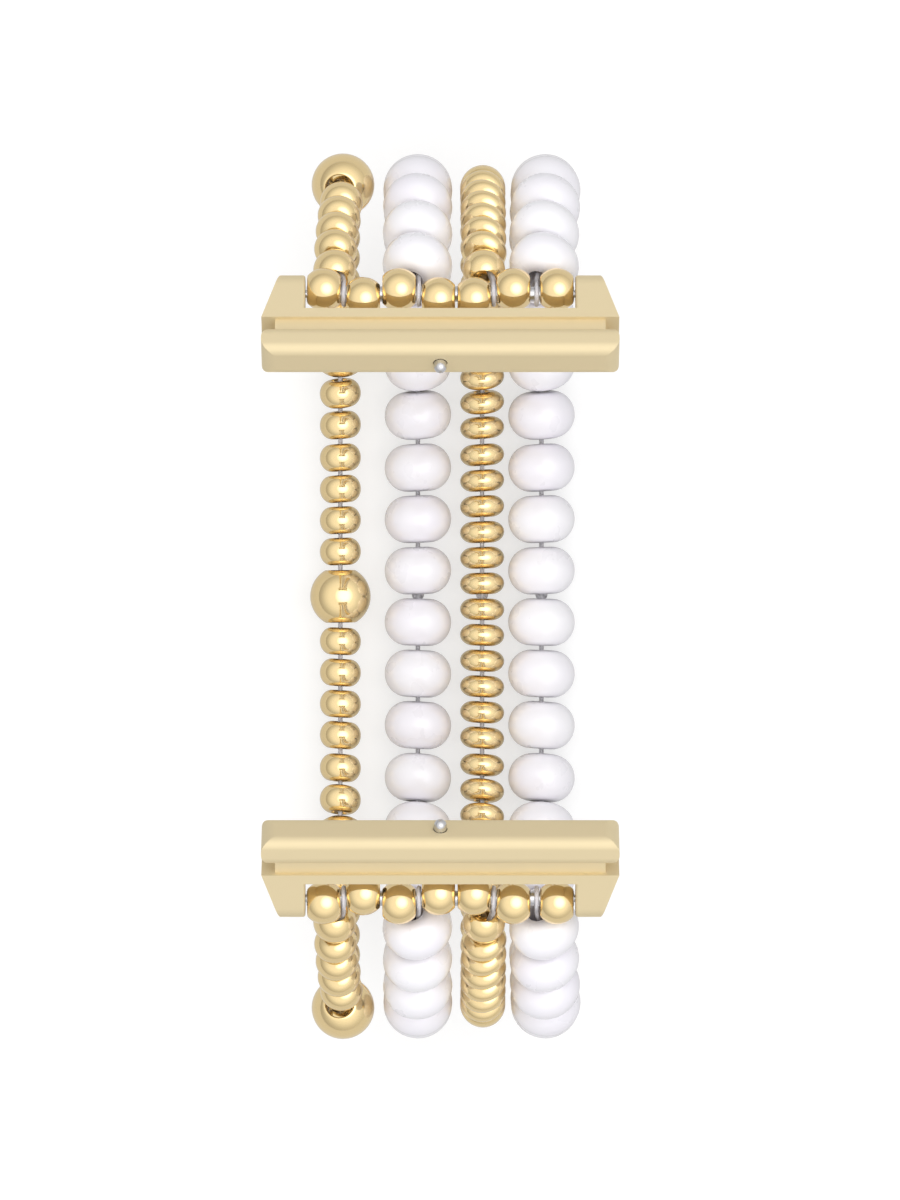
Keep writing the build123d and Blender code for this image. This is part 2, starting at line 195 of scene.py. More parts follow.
RUNS, LINK_PITCH, BACK_PITCH, TOTAL_LENGTH = loop_runs()


def follow(distance):
    """Y, drop and slope at a distance along one side, in mm."""
    y = BAR_SPACING / 2 + LEAD_LENGTH * math.cos(math.radians(LEAD_SLOPE))
    drop = 0.0
    slope = math.radians(START_SLOPE)
    for length, radius in RUNS:
        step = min(distance, length)
        distance -= step
        if radius:
            turn = step / radius
            y += radius * (math.sin(slope + turn) - math.sin(slope))
            drop += radius * (math.cos(slope) - math.cos(slope + turn))
            slope += turn
        else:
            y += step * math.cos(slope)
            drop += step * math.sin(slope)
    return y, drop, slope


LEAD_Z = BEADS["pearl"]["radius"] + follow(TOTAL_LENGTH / 2)[1]
BAR_Y = BAR_SPACING / 2
BAR_Z = LEAD_Z + LEAD_LENGTH * math.sin(math.radians(LEAD_SLOPE))
WIDEST_Z = LEAD_Z - follow(RUNS[0][0] + RUNS[1][0])[1]


def centre_at(distance):
    """Y, Z and slope of the strands' centreline, measured along it from 12 o'clock."""
    if distance <= TOTAL_LENGTH / 2:
        y, drop, slope = follow(distance)
        return y, LEAD_Z - drop, slope
    y, drop, slope = follow(TOTAL_LENGTH - distance)
    return -y, LEAD_Z - drop, 2 * math.pi - slope


def point_at(x, distance, outward=0.0):
    """Point beside the centreline, in metres, shifted away from the wrist by outward."""
    y, z, slope = centre_at(distance)
    return Vector((x, y + outward * math.sin(slope), z + outward * math.cos(slope))) * MM


def strand_x_at(strand, distance):
    """How far a strand lies from the band's middle at a distance along it."""
    from_bar = min(distance, TOTAL_LENGTH - distance)
    if from_bar < STRAND_SHIFT_LENGTH:
        share = (max(from_bar, 0) / STRAND_SHIFT_LENGTH) ** 2
        return STRAND_FIRST_X[strand] + (STRAND_X[strand] - STRAND_FIRST_X[strand]) * share
    share = min((from_bar - STRAND_SHIFT_LENGTH) / STRAND_RETURN_LENGTH, 1)
    return STRAND_X[strand] + (STRAND_BACK_X[strand] - STRAND_X[strand]) * share


def link_span(link):
    """Where a link's beads start and end along the centreline."""
    if link <= SIDE_LINK_COUNT:
        start = (link - 1) * LINK_PITCH
        return start, start + LINK_PITCH - HINGE_GAP
    if link == BACK_LINK:
        start = SIDE_LINK_COUNT * LINK_PITCH
        return start, start + BACK_PITCH - HINGE_GAP
    mirrored_start, mirrored_end = link_span(LINK_COUNT + 1 - link)
    return TOTAL_LENGTH - mirrored_end, TOTAL_LENGTH - mirrored_start


def strand_row(strand, link):
    """Kinds of the beads of one strand in one link, in order from 12 o'clock."""
    from_bar = min(link, LINK_COUNT + 1 - link)
    at_back = link == BACK_LINK
    if strand in (1, 3):
        row = ["pearl"] * (BACK_PEARL_COUNT if at_back else LINK_PEARL_COUNT)
    elif strand == 2:
        row = ["rondelle"] * (BACK_RONDELLE_COUNT if at_back else LINK_RONDELLE_COUNT)
        if from_bar == 1:
            row[0] = "large"
    else:
        row = list(BALL_STRAND_ROWS[from_bar - 1])
    return row if link <= BACK_LINK else row[::-1]


def row_centres(strand, link):
    """Each bead of one strand in one link: (kind, distance of its centre)."""
    row = strand_row(strand, link)
    start, end = link_span(link)
    lengths = [BEADS[kind]["length"] for kind in row]
    gap = (end - start - sum(lengths)) / (len(lengths) - 1)
    centres = []
    edge = start
    for kind, length in zip(row, lengths):
        centres.append((kind, edge + length / 2))
        edge += length + gap
    return centres


def lean_at(kind, strand, distance, index):
    """How far a bead leans on its cord, in radians: most near the bars, where beads look twisted."""
    from_bar = min(distance, TOTAL_LENGTH - distance)
    way = 1 if distance < TOTAL_LENGTH / 2 else -1
    share = KIND_LEAN_SHARES[kind] * max(1 - from_bar / LEAN_FADE_LENGTH, 0)
    spread = LEAN_SPREAD * LEAN_SPREAD_SHARES[(index + 2 * strand) % len(LEAN_SPREAD_SHARES)]
    return math.radians(way * (STRAND_LEANS[strand] + spread) * share)


def bead_places(link, kind):
    """Places of one kind of bead in one link: (centre, direction of its hole)."""
    places = []
    for strand in range(len(STRAND_X)):
        for index, (found, distance) in enumerate(row_centres(strand, link)):
            if found != kind:
                continue
            shift = 0.0
            if kind == "ball":
                shift = BACK_BALL_OFFSET if link == BACK_LINK else BALL_OFFSET
            slope = centre_at(distance)[2]
            lean = lean_at(kind, strand, distance, index + 3 * link)
            facing = Vector((
                math.sin(lean), math.cos(lean) * math.cos(slope), -math.cos(lean) * math.sin(slope)
            ))
            places.append((point_at(strand_x_at(strand, distance), distance, shift), facing))
    return places


def bar_bead_centres():
    """How far each bead on a bar lies from the band's middle, in mm."""
    length = BEADS["large"]["length"]
    edge = -EAR_GAP / 2 + BAR_BEAD_END_GAP
    centres = []
    for gap in (*BAR_BEAD_GAPS, 0):
        centres.append(edge + length / 2)
        edge += length + gap
    return centres


def cord_bar_x():
    """How far each strand's elastic lies from the middle where it goes round a bar, in mm."""
    centres = bar_bead_centres()
    middles = [(centres[left] + centres[left + 1]) / 2 for left in (0, 2, 4)]
    last = centres[6] - BEADS["large"]["length"] / 2 - CORD_RADIUS - LAST_GAP_CORD_INSET
    return (*middles, last)


# Node helpers

def add_node(tree, kind, **values):
    """New node with its properties set."""
    node = tree.nodes.new(kind)
    for name, value in values.items():
        setattr(node, name, value)
    return node


def wire(tree, source, target):
    """Link from one socket to another, or a plain value on the target."""
    if isinstance(source, bpy.types.NodeSocket):
        tree.links.new(source, target)
    else:
        target.default_value = source


def math_node(tree, operation, first, second=None, clamp=False):
    """Math node, and its result."""
    node = add_node(tree, "ShaderNodeMath", operation=operation, use_clamp=clamp)
    wire(tree, first, node.inputs[0])
    if second is not None:
        wire(tree, second, node.inputs[1])
    return node.outputs[0]


def smooth_range(tree, value, given, wanted):
    """Value carried smoothly from one range to another, and held at its ends."""
    node = add_node(tree, "ShaderNodeMapRange", interpolation_type="SMOOTHSTEP")
    tree.links.new(value, node.inputs["Value"])
    for name, number in zip(("From Min", "From Max", "To Min", "To Max"), (*given, *wanted)):
        wire(tree, number, node.inputs[name])
    return node.outputs[0]


def mixed_colour(tree, factor, first, second):
    """Colour between two others, each a socket or a plain colour."""
    node = add_node(tree, "ShaderNodeMix", data_type="RGBA")
    wire(tree, factor, node.inputs["Factor"])
    wire(tree, first, node.inputs[6])
    wire(tree, second, node.inputs[7])
    return node.outputs[2]


def stored_value(tree, name):
    """Value that the bead tree stored on the mesh."""
    return add_node(tree, "ShaderNodeAttribute", attribute_name=name).outputs["Fac"]


def add_inputs(tree, inputs):
    """Named inputs of a node tree: (name, socket type, default)."""
    for name, socket_type, default in inputs:
        socket = tree.interface.new_socket(name, in_out="INPUT", socket_type=socket_type)
        if default is not None:
            socket.default_value = default


# Geometry trees

def bead_tree():
    """Turned bead on every point, its hole along the point's facing direction."""
    tree = bpy.data.node_groups.new("turned_beads", "GeometryNodeTree")
    add_inputs(tree, (
        ("Geometry", "NodeSocketGeometry", None),
        ("Radius", "NodeSocketFloat", 0.0017),
        ("Length", "NodeSocketFloat", 0.0023),
        ("Rim Radius", "NodeSocketFloat", 0.00075),
        ("Hole Radius", "NodeSocketFloat", 0.00065),
        ("Hole Edge Rounding", "NodeSocketFloat", 0.00008),
        ("Steps Around", "NodeSocketInt", 40),
        ("Steps Across", "NodeSocketInt", 17),
        ("Seed", "NodeSocketInt", 0),
        ("Material", "NodeSocketMaterial", None),
    ))
    tree.interface.new_socket("Geometry", in_out="OUTPUT", socket_type="NodeSocketGeometry")
    given = add_node(tree, "NodeGroupInput").outputs
    out = add_node(tree, "NodeGroupOutput").inputs[0]

    across = math_node(tree, "SUBTRACT", given["Radius"], given["Rim Radius"])
    inset = math_node(tree, "SUBTRACT", given["Hole Radius"], given["Rim Radius"])
    edge_angle = math_node(tree, "ARCCOSINE", math_node(tree, "DIVIDE", inset, across))
    edge_height = math_node(tree, "SINE", edge_angle)
    half = math_node(tree, "MULTIPLY", given["Length"], 0.5)
    rise = math_node(tree, "DIVIDE", half, edge_height)

    arc = add_node(tree, "GeometryNodeCurveArc", mode="RADIUS")
    wire(tree, given["Steps Across"], arc.inputs["Resolution"])
    wire(tree, 1.0, arc.inputs["Radius"])
    wire(tree, math_node(tree, "MULTIPLY", edge_angle, -1.0), arc.inputs["Start Angle"])
    wire(tree, math_node(tree, "MULTIPLY", edge_angle, 2.0), arc.inputs["Sweep Angle"])

    spot = add_node(tree, "ShaderNodeSeparateXYZ")
    tree.links.new(add_node(tree, "GeometryNodeInputPosition").outputs[0], spot.inputs[0])
    band = add_node(
        tree, "GeometryNodeStoreNamedAttribute", data_type="FLOAT", domain="POINT"
    )
    tree.links.new(arc.outputs["Curve"], band.inputs["Geometry"])
    band.inputs["Name"].default_value = "from_hole"
    tree.links.new(spot.outputs["X"], band.inputs["Value"])

    outwards = math_node(tree, "MULTIPLY", spot.outputs["X"], across)
    radial = math_node(tree, "SUBTRACT", outwards, inset)
    shaped = add_node(tree, "ShaderNodeCombineXYZ")
    tree.links.new(radial, shaped.inputs["X"])
    tree.links.new(math_node(tree, "MULTIPLY", spot.outputs["Y"], rise), shaped.inputs["Y"])
    move = add_node(tree, "GeometryNodeSetPosition")
    tree.links.new(band.outputs["Geometry"], move.inputs["Geometry"])
    tree.links.new(shaped.outputs[0], move.inputs["Position"])
    closed = add_node(tree, "GeometryNodeSetSplineCyclic")
    tree.links.new(move.outputs[0], closed.inputs["Geometry"])
    closed.inputs["Cyclic"].default_value = True

    index = add_node(tree, "GeometryNodeInputIndex").outputs[0]
    last = math_node(tree, "SUBTRACT", given["Steps Across"], 1.5)
    at_start = math_node(tree, "LESS_THAN", index, 0.5)
    at_end = math_node(tree, "GREATER_THAN", index, last)
    at_edge = math_node(tree, "ADD", at_start, at_end)
    rounded = add_node(tree, "GeometryNodeFilletCurve", mode="POLY")
    tree.links.new(closed.outputs[0], rounded.inputs["Curve"])
    rounded.inputs["Count"].default_value = EDGE_POINTS
    rounded.inputs["Limit Radius"].default_value = True
    tree.links.new(
        math_node(tree, "MULTIPLY", at_edge, given["Hole Edge Rounding"]), rounded.inputs["Radius"]
    )

    circle = add_node(tree, "GeometryNodeCurvePrimitiveCircle", mode="RADIUS")
    wire(tree, given["Steps Around"], circle.inputs["Resolution"])
    wire(tree, given["Hole Radius"], circle.inputs["Radius"])
    skin = add_node(tree, "GeometryNodeCurveToMesh")
    tree.links.new(circle.outputs["Curve"], skin.inputs["Curve"])
    tree.links.new(rounded.outputs[0], skin.inputs["Profile Curve"])

    sideways = add_node(tree, "ShaderNodeVectorMath", operation="MULTIPLY")
    tree.links.new(add_node(tree, "GeometryNodeInputPosition").outputs[0], sideways.inputs[0])
    sideways.inputs[1].default_value = (1, 1, 0)
    outward = add_node(tree, "ShaderNodeVectorMath", operation="DOT_PRODUCT")
    tree.links.new(add_node(tree, "GeometryNodeInputNormal").outputs[0], outward.inputs[0])
    tree.links.new(sideways.outputs[0], outward.inputs[1])
    inward = math_node(tree, "MULTIPLY", given["Hole Radius"], -BORE_SHARE)
    bore = add_node(tree, "GeometryNodeStoreNamedAttribute", data_type="FLOAT", domain="FACE")
    tree.links.new(skin.outputs[0], bore.inputs["Geometry"])
    bore.inputs["Name"].default_value = "bore"
    tree.links.new(
        math_node(tree, "LESS_THAN", outward.outputs["Value"], inward), bore.inputs["Value"]
    )

    facing = add_node(tree, "GeometryNodeInputNamedAttribute", data_type="FLOAT_VECTOR")
    facing.inputs["Name"].default_value = "facing"
    align = add_node(tree, "FunctionNodeAlignRotationToVector", axis="Z")
    tree.links.new(facing.outputs["Attribute"], align.inputs["Vector"])
    many = add_node(tree, "GeometryNodeInstanceOnPoints")
    tree.links.new(given["Geometry"], many.inputs["Points"])
    tree.links.new(bore.outputs["Geometry"], many.inputs["Instance"])
    tree.links.new(align.outputs[0], many.inputs["Rotation"])

    chance = add_node(tree, "FunctionNodeRandomValue", data_type="FLOAT")
    tree.links.new(given["Seed"], chance.inputs["Seed"])
    shade = add_node(
        tree, "GeometryNodeStoreNamedAttribute", data_type="FLOAT", domain="INSTANCE"
    )
    tree.links.new(many.outputs[0], shade.inputs["Geometry"])
    shade.inputs["Name"].default_value = "bead_shade"
    tree.links.new(chance.outputs["Value"], shade.inputs["Value"])

    real = add_node(tree, "GeometryNodeRealizeInstances")
    tree.links.new(shade.outputs["Geometry"], real.inputs["Geometry"])
    smooth = add_node(tree, "GeometryNodeSetShadeSmooth", domain="FACE")
    tree.links.new(real.outputs[0], smooth.inputs["Geometry"])
    finish = add_node(tree, "GeometryNodeSetMaterial")
    tree.links.new(smooth.outputs[0], finish.inputs["Geometry"])
    tree.links.new(given["Material"], finish.inputs["Material"])
    tree.links.new(finish.outputs[0], out)
    return tree


def cord_tree():
    """Round elastic cord along each spline, with closed ends."""
    tree = bpy.data.node_groups.new("elastic_cords", "GeometryNodeTree")
    add_inputs(tree, (
        ("Geometry", "NodeSocketGeometry", None),
        ("Cord Radius", "NodeSocketFloat", 0.00023),
        ("Sides", "NodeSocketInt", 12),
        ("Material", "NodeSocketMaterial", None),
    ))
    tree.interface.new_socket("Geometry", in_out="OUTPUT", socket_type="NodeSocketGeometry")
    given = add_node(tree, "NodeGroupInput").outputs
    out = add_node(tree, "NodeGroupOutput").inputs[0]
    section = add_node(tree, "GeometryNodeCurvePrimitiveCircle", mode="RADIUS")
    wire(tree, given["Sides"], section.inputs["Resolution"])
    wire(tree, given["Cord Radius"], section.inputs["Radius"])
    skin = add_node(tree, "GeometryNodeCurveToMesh")
    tree.links.new(given["Geometry"], skin.inputs["Curve"])
    tree.links.new(section.outputs["Curve"], skin.inputs["Profile Curve"])
    skin.inputs["Fill Caps"].default_value = True
    real = add_node(tree, "GeometryNodeRealizeInstances")
    tree.links.new(skin.outputs[0], real.inputs["Geometry"])
    smooth = add_node(tree, "GeometryNodeSetShadeSmooth", domain="FACE")
    tree.links.new(real.outputs[0], smooth.inputs["Geometry"])
    finish = add_node(tree, "GeometryNodeSetMaterial")
    tree.links.new(smooth.outputs[0], finish.inputs["Geometry"])
    tree.links.new(given["Material"], finish.inputs["Material"])
    tree.links.new(finish.outputs[0], out)
    return tree


def tree_named(name, make):
    """Node tree of that name, made once."""
    return bpy.data.node_groups.get(name) or make()


def through_tree(data, tree, name, values):
    """Plain mesh object that a geometry tree makes from a mesh or curve."""
    source = bpy.data.objects.new(name + "_source", data)
    bpy.context.scene.collection.objects.link(source)
    modifier = source.modifiers.new(tree.name, "NODES")
    modifier.node_group = tree
    for item in tree.interface.items_tree:
        if item.in_out == "INPUT" and item.name in values:
            modifier[item.identifier] = values[item.name]
    graph = bpy.context.evaluated_depsgraph_get()
    mesh = bpy.data.meshes.new_from_object(source.evaluated_get(graph), depsgraph=graph)
    bpy.data.objects.remove(source)
    mesh.name = name
    piece = bpy.data.objects.new(name, mesh)
    bpy.context.scene.collection.objects.link(piece)
    return piece


def bead_piece(name, places, kind, material, seed):
    """Beads of one kind at their places, as one mesh."""
    sizes = bpy.context.scene.band_sizes
    bead = BEADS[kind]
    points = bpy.data.meshes.new(name + "_points")
    points.from_pydata([tuple(centre) for centre, facing in places], [], [])
    facing = points.attributes.new("facing", "FLOAT_VECTOR", "POINT")
    facing.data.foreach_set("vector", [part for place in places for part in place[1]])
    return through_tree(points, tree_named("turned_beads", bead_tree), name, {
        "Radius": bead["radius"] * MM,
        "Length": bead["length"] * MM,
        "Rim Radius": bead["rim"] * MM,
        "Hole Radius": bead["hole"] * MM,
        "Hole Edge Rounding": bead["edge"] * MM * sizes.edge_rounding,
        "Steps Around": sizes.steps_around,
        "Steps Across": sizes.steps_across,
        "Seed": seed,
        "Material": material,
    })


def joined(name, pieces):
    """One object from several."""
    if len(pieces) > 1:
        with bpy.context.temp_override(
            active_object=pieces[0], object=pieces[0], selected_editable_objects=pieces,
            selected_objects=pieces,
        ):
            bpy.ops.object.join()
    pieces[0].name = name
    pieces[0].data.name = name
    return pieces[0]


# Finishes

def shader_group(name, inputs, outputs):
    """Empty shader node group with named inputs and outputs."""
    tree = bpy.data.node_groups.new(name, "ShaderNodeTree")
    add_inputs(tree, inputs)
    for output, socket_type in outputs:
        tree.interface.new_socket(output, in_out="OUTPUT", socket_type=socket_type)
    given = add_node(tree, "NodeGroupInput").outputs
    out = add_node(tree, "NodeGroupOutput").inputs
    return tree, given, out


def noise(tree, scale, detail=2.0, stretch=None):
    """Noise on object coordinates, its scale in cycles per metre."""
    place = add_node(tree, "ShaderNodeTexCoord").outputs["Object"]
    if stretch:
        mapping = add_node(tree, "ShaderNodeMapping")
        tree.links.new(place, mapping.inputs["Vector"])
        mapping.inputs["Scale"].default_value = stretch
        place = mapping.outputs[0]
    node = add_node(tree, "ShaderNodeTexNoise")
    tree.links.new(place, node.inputs["Vector"])
    wire(tree, scale, node.inputs["Scale"])
    node.inputs["Detail"].default_value = detail
    return node.outputs["Fac"]


def surface_grain_tree():
    """Fine marks of handling and polishing: a roughness and a height that change over the surface."""
    tree, given, out = shader_group("surface_grain", (
        ("Roughness", "NodeSocketFloat", 0.1),
        ("Roughness Spread", "NodeSocketFloat", 0.05),
        ("Grain Scale", "NodeSocketFloat", 6000.0),
        ("Smudge Scale", "NodeSocketFloat", 500.0),
    ), (("Roughness", "NodeSocketFloat"), ("Height", "NodeSocketFloat")))
    smudges = noise(tree, given["Smudge Scale"], 3.0)
    hairlines = noise(tree, given["Grain Scale"], 1.0, (1.0, 0.12, 0.12))
    fine = math_node(tree, "MULTIPLY", hairlines, HAIRLINE_SHARE)
    both = math_node(tree, "ADD", smudges, fine)
    centred = math_node(tree, "SUBTRACT", both, (1 + HAIRLINE_SHARE) / 2)
    spread = math_node(tree, "MULTIPLY", centred, given["Roughness Spread"])
    tree.links.new(math_node(tree, "ADD", given["Roughness"], spread, clamp=True), out["Roughness"])
    tree.links.new(noise(tree, given["Grain Scale"], 2.0), out["Height"])
    return tree


def bead_tone_tree():
    """Colour of a bead: painted shade beside its hole, a bore colour of its own inside it, and
    different from bead to bead.
    """
    tree, given, out = shader_group("bead_tone", (
        ("Colour", "NodeSocketColor", (0.8, 0.8, 0.8, 1)),
        ("Second Colour", "NodeSocketColor", (0.7, 0.7, 0.7, 1)),
        ("Hole Colour", "NodeSocketColor", (0.3, 0.3, 0.3, 1)),
        ("Bore Colour", "NodeSocketColor", (0.5, 0.5, 0.5, 1)),
        ("Cloud Scale", "NodeSocketFloat", 350.0),
        ("Bead Difference", "NodeSocketFloat", 0.3),
        ("Hole Reach", "NodeSocketFloat", 0.35),
    ), (("Colour", "NodeSocketColor"),))
    clouds = noise(tree, given["Cloud Scale"], 2.0)
    apart = math_node(tree, "MULTIPLY", stored_value(tree, "bead_shade"), given["Bead Difference"])
    shifted = math_node(tree, "SUBTRACT", apart, CLOUD_SHIFT)
    mix = math_node(tree, "ADD", clouds, shifted, clamp=True)
    tone = mixed_colour(tree, mix, given["Colour"], given["Second Colour"])
    # Painted shade: towards the hole's edge the colour runs to Hole Colour, where beads shade each
    # other
    reach = smooth_range(
        tree, stored_value(tree, "from_hole"), (0.0, given["Hole Reach"]), (1.0, 0.0)
    )
    hole_shaded = mixed_colour(tree, reach, tone, given["Hole Colour"])
    # Inside the bore: Bore Colour, bare steel for gold and painted shade for pearls
    lined = mixed_colour(tree, stored_value(tree, "bore"), hole_shaded, given["Bore Colour"])
    tree.links.new(lined, out["Colour"])
    return tree


def new_material(name):
    """Material with only a Principled BSDF, and that shader."""
    material = bpy.data.materials.new(name)
    material.use_nodes = True
    return material, material.node_tree, material.node_tree.nodes["Principled BSDF"]


def add_group(tree, name, make, **values):
    """Shared shader group in a material, with its own values."""
    node = add_node(tree, "ShaderNodeGroup", node_tree=tree_named(name, make))
    for key, value in values.items():
        node.inputs[key.replace("_", " ")].default_value = value
    return node


def dress(tree, shader, colour, grain, strength, distance, height=None):
    """A shader's colour, its grain's roughness, and a bump from the grain or from a height."""
    if height is None:
        height = grain.outputs["Height"]
    tree.links.new(colour, shader.inputs["Base Color"])
    tree.links.new(grain.outputs["Roughness"], shader.inputs["Roughness"])
    bump = add_node(tree, "ShaderNodeBump")
    bump.inputs["Strength"].default_value = strength
    bump.inputs["Distance"].default_value = distance
    tree.links.new(height, bump.inputs["Height"])
    tree.links.new(bump.outputs[0], shader.inputs["Normal"])


def polished_gold():
    """Polished warm gold plating of the beads."""
    if "polished_gold" in bpy.data.materials:
        return bpy.data.materials["polished_gold"]
    finish = bpy.context.scene.band_finish
    material, tree, shader = new_material("polished_gold")
    shader.inputs["Metallic"].default_value = 1.0
    grain = add_group(
        tree, "surface_grain", surface_grain_tree, Roughness=finish.gold_roughness,
        Roughness_Spread=0.06, Grain_Scale=7000.0, Smudge_Scale=600.0,
    )
    # Hole Colour is painted contact shade with some grime; the bore is bare steel under the plating
    tone = add_group(
        tree, "bead_tone", bead_tone_tree, Colour=(*finish.gold, 1),
        Second_Colour=(*finish.gold_deep, 1), Hole_Colour=(*finish.gold_shadow, 1),
        Bore_Colour=(*finish.steel, 1), Cloud_Scale=300.0, Bead_Difference=0.35, Hole_Reach=0.2,
    )
    dress(tree, shader, tone.outputs["Colour"], grain, 0.05, 0.00002)
    return material


def pearl_coat():
    """Pearl lacquer on the white rondelles: milky, with a faint lilac and cream play."""
    if "pearl_coat" in bpy.data.materials:
        return bpy.data.materials["pearl_coat"]
    finish = bpy.context.scene.band_finish
    material, tree, shader = new_material("pearl_coat")
    shader.inputs["Coat Weight"].default_value = 0.6
    shader.inputs["Coat Roughness"].default_value = 0.08
    shader.inputs["Sheen Weight"].default_value = 0.15
    shader.inputs["Sheen Roughness"].default_value = 0.4
    shader.inputs["Sheen Tint"].default_value = (*finish.pearl_sheen, 1)
    shader.inputs["Specular IOR Level"].default_value = 0.6
    grain = add_group(
        tree, "surface_grain", surface_grain_tree, Roughness=finish.pearl_roughness,
        Roughness_Spread=0.05, Grain_Scale=1500.0, Smudge_Scale=450.0,
    )
    # Hole and bore colours are painted shade, greying each pearl beside its hole and inside it
    tone = add_group(
        tree, "bead_tone", bead_tone_tree, Colour=(*finish.pearl, 1),
        Second_Colour=(*finish.pearl_sheen, 1), Hole_Colour=(*finish.pearl_shadow, 1),
        Bore_Colour=(*finish.pearl_shadow, 1), Cloud_Scale=260.0, Bead_Difference=0.4, Hole_Reach=0.45,
    )
    dress(tree, shader, tone.outputs["Colour"], grain, 0.03, 0.00004)
    return material


def clear_elastic():
    """Clear elastic cord with a greyish lilac tinge."""
    if "clear_elastic" in bpy.data.materials:
        return bpy.data.materials["clear_elastic"]
    finish = bpy.context.scene.band_finish
    material, tree, shader = new_material("clear_elastic")
    shader.inputs["Transmission Weight"].default_value = 0.25
    shader.inputs["IOR"].default_value = 1.3
    grain = add_group(
        tree, "surface_grain", surface_grain_tree, Roughness=0.3,
        Roughness_Spread=0.15, Grain_Scale=4000.0, Smudge_Scale=1500.0,
    )
    streaks = noise(tree, 3000.0, 2.0, (1.0, 0.15, 0.15))
    dull = [ELASTIC_DULL_SHARE * part for part in finish.elastic]
    tone = mixed_colour(tree, streaks, (*finish.elastic, 1), (*dull, 1))
    dress(tree, shader, tone, grain, 0.1, 0.00003)
    return material


def matte_gold():
    """Bead-blasted champagne gold of the lug adapters."""
    if "matte_gold" in bpy.data.materials:
        return bpy.data.materials["matte_gold"]
    finish = bpy.context.scene.band_finish
    material, tree, shader = new_material("matte_gold")
    shader.inputs["Metallic"].default_value = 1.0
    grain = add_group(
        tree, "surface_grain", surface_grain_tree, Roughness=finish.adapter_roughness,
        Roughness_Spread=0.12, Grain_Scale=9000.0, Smudge_Scale=350.0,
    )
    patches = noise(tree, 220.0, 3.0)
    tone = mixed_colour(tree, patches, (*finish.adapter, 1), (*finish.adapter_deep, 1))
    dress(tree, shader, tone, grain, 0.25, 0.00003)
    return material


def turned_steel():
    """Steel of the spring bars and latches, with fine turning marks."""
    if "turned_steel" in bpy.data.materials:
        return bpy.data.materials["turned_steel"]
    finish = bpy.context.scene.band_finish
    material, tree, shader = new_material("turned_steel")
    shader.inputs["Metallic"].default_value = 1.0
    grain = add_group(
        tree, "surface_grain", surface_grain_tree, Roughness=0.28,
        Roughness_Spread=0.15, Grain_Scale=9000.0, Smudge_Scale=900.0,
    )
    rings = noise(tree, 9000.0, 1.0, (1.0, 0.03, 0.03))
    dull = [STEEL_DULL_SHARE * part for part in finish.steel]
    tone = mixed_colour(tree, rings, (*finish.steel, 1), (*dull, 1))
    dress(tree, shader, tone, grain, 0.15, 0.00002, height=rings)
    return material


class BandSizes(bpy.types.PropertyGroup):
    """How finely the band's beads and cords are made"""
    edge_rounding: FloatProperty(
        name="Hole edge rounding", description="Rounding of every hole's edge, 1 as modelled",
        default=1.0, min=0.1, max=2.0,
    )
    cord_radius: FloatProperty(
        name="Cord radius", description="Radius of one elastic cord", default=CORD_RADIUS * MM,
        min=0, precision=5, subtype="DISTANCE", unit="LENGTH",
    )
    steps_around: IntProperty(
        name="Steps around", description="Faces round each bead", default=40, min=12, max=64,
    )
    steps_across: IntProperty(
        name="Steps across", description="Points on each bead's profile", default=17, min=7, max=33,
    )
    bead_seed: IntProperty(
        name="Bead seed", description="Seed of the small differences between beads", default=7,
    )


class BandFinish(bpy.types.PropertyGroup):
    """Colours and gloss of the band"""
    gold: FloatVectorProperty(
        name="Gold", description="Colour of the gold plating", subtype="COLOR", min=0, max=1,
        default=(0.72, 0.575, 0.312),
    )
    gold_deep: FloatVectorProperty(
        name="Deep gold", description="Warmer places in the plating", subtype="COLOR", min=0, max=1,
        default=(0.66, 0.515, 0.26),
    )
    # Painted shade: a darker gold for the edge of each bead's hole, standing in for the contact shade
    # between beads, with some grime
    gold_shadow: FloatVectorProperty(
        name="Gold at the holes", description="Plating at the edge of a bead's hole",
        subtype="COLOR", min=0, max=1, default=(0.36, 0.25, 0.11),
    )
    gold_roughness: FloatProperty(
        name="Gold roughness", description="Roughness of the polished gold", default=0.15, min=0, max=1,
    )
    pearl: FloatVectorProperty(
        name="Pearl", description="Main colour of the pearls", subtype="COLOR", min=0, max=1,
        default=(0.965, 0.955, 0.985),
    )
    pearl_sheen: FloatVectorProperty(
        name="Pearl sheen", description="Lilac play in the pearls", subtype="COLOR", min=0, max=1,
        default=(0.91, 0.88, 0.955),
    )
    # Painted shade: a grey for the edge of each pearl's hole and for its bore, where the beads shade
    # each other
    pearl_shadow: FloatVectorProperty(
        name="Pearl at the holes", description="Pearl colour at the edge of a hole",
        subtype="COLOR", min=0, max=1, default=(0.62, 0.60, 0.64),
    )
    pearl_roughness: FloatProperty(
        name="Pearl roughness", description="Roughness under the lacquer", default=0.28, min=0, max=1,
    )
    elastic: FloatVectorProperty(
        name="Elastic", description="Colour of the elastic", subtype="COLOR", min=0, max=1,
        default=(0.93, 0.91, 0.95),
    )
    adapter: FloatVectorProperty(
        name="Adapter", description="Colour of the lug adapters", subtype="COLOR", min=0, max=1,
        default=(0.62, 0.50, 0.18),
    )
    adapter_deep: FloatVectorProperty(
        name="Deep adapter", description="Darker patches on the lug adapters", subtype="COLOR",
        min=0, max=1, default=(0.59, 0.475, 0.168),
    )
    adapter_roughness: FloatProperty(
        name="Adapter roughness", description="Roughness of the blasted metal", default=0.45,
        min=0, max=1,
    )
    steel: FloatVectorProperty(
        name="Steel", description="Colour of the spring bars and latches", subtype="COLOR",
        min=0, max=1, default=(0.66, 0.66, 0.68),
    )


def finished(piece, body, slot, *nodes):
    """Piece on its body, in place of CAD nodes; its slot argument is not used."""
    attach(piece, body)
    if nodes:
        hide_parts(*nodes)
    return piece


